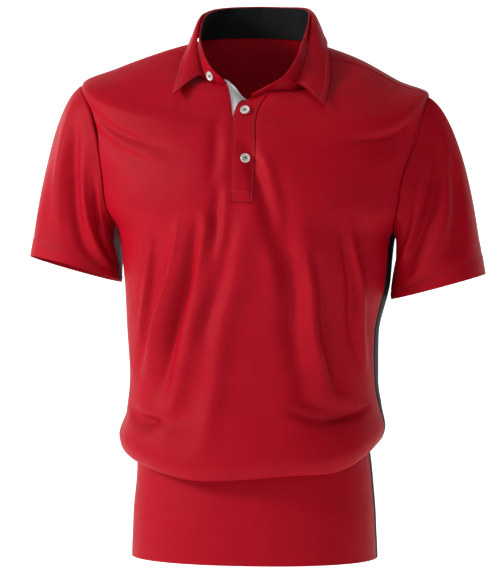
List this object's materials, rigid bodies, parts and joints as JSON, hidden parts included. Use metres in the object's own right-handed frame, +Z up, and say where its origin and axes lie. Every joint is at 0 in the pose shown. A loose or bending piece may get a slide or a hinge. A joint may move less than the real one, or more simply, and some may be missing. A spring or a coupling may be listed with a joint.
{
  "type": "polo shirt",
  "caption": "Short-sleeved red polo shirt in its worn form, empty, with an open collar, a buttoned placket, narrow black side panels and a tucked-in tail.",
  "frame": {"origin": "middle of the neck base, level with the two high shoulder points, where a wearer's neck and shoulders carry the shirt", "axes": "+Z up along the body, -Y out of the front of the shirt, +X towards the wearer's left sleeve"},
  "size_m": [0.625, 0.2599, 0.7553],
  "materials": {
    "red_cloth": "smooth knit with a soft sheen",
    "black_cloth": "smooth knit",
    "grey_cloth": "smooth knit",
    "button": "semi-gloss"
  },
  "bodies": {
    "root": {"front": "red_cloth", "back": "red_cloth", "side_panel_right": "black_cloth", "side_panel_left": "black_cloth", "placket_over": "red_cloth", "placket_under": "grey_cloth", "sleeve_right": "red_cloth", "sleeve_left": "red_cloth", "collar_stand": "red_cloth", "collar_leaf": "red_cloth", "collar_facing": "black_cloth", "button_low": "button", "button_middle": "button", "button_collar": "button"}
  },
  "joints": []
}
